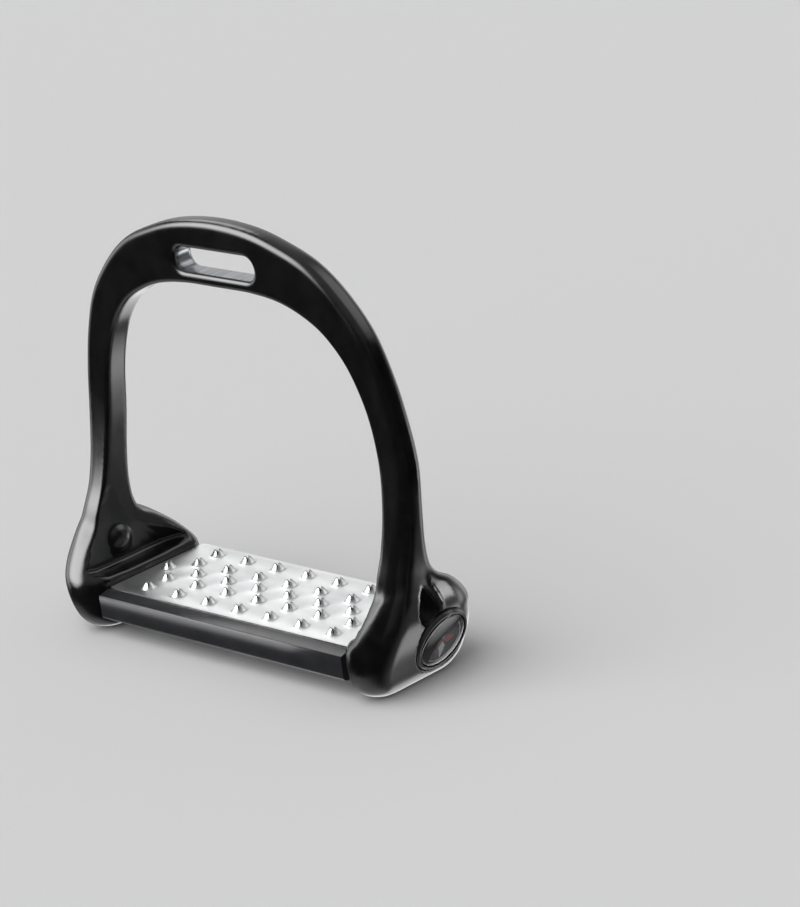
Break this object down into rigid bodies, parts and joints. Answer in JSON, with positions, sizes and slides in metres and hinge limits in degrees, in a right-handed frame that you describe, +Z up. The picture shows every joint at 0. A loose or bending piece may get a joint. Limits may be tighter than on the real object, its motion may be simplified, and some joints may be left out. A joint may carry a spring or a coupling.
{
  "type": "stirrup iron",
  "caption": "Rigid stirrup iron for riding tack, holding the rider's foot, with a leather slot in the arch and a toothed steel tread on a bolted bar.",
  "frame": {"origin": "centre of the bounding box, on the plane the two hub feet rest on", "axes": "+X along the tread to the rider's right, +Y towards the rear (the toe end is -Y), +Z up to the leather slot"},
  "size_m": [0.1668, 0.0535, 0.1496],
  "materials": {
    "frame_paint": "gloss black paint on cast aluminium",
    "bar_paint": "satin black paint on aluminium",
    "plate_steel": "bright satin stainless steel",
    "pad_rubber": "black rubber sheet",
    "fastener_steel": "zinc-plated steel",
    "bezel_plastic": "gloss black plastic ring",
    "badge_foil": "dark foil disc with no mark",
    "badge_resin": "smoked clear resin dome"
  },
  "bodies": {
    "root": {"arch_frame": "frame_paint", "tread_bar": "bar_paint", "tread_plate": "plate_steel", "tread_pad": "pad_rubber", "plate_screw_1": "fastener_steel", "plate_screw_2": "fastener_steel", "plate_screw_3": "fastener_steel", "plate_screw_4": "fastener_steel", "plate_screw_5": "fastener_steel", "plate_screw_6": "fastener_steel", "hub_washer_right": "fastener_steel", "hub_bolt_right": "fastener_steel", "badge_bezel_right": "bezel_plastic", "badge_disc_right": "badge_foil", "badge_dome_right": "badge_resin", "hub_washer_left": "fastener_steel", "hub_bolt_left": "fastener_steel", "badge_bezel_left": "bezel_plastic", "badge_disc_left": "badge_foil", "badge_dome_left": "badge_resin"}
  },
  "joints": []
}
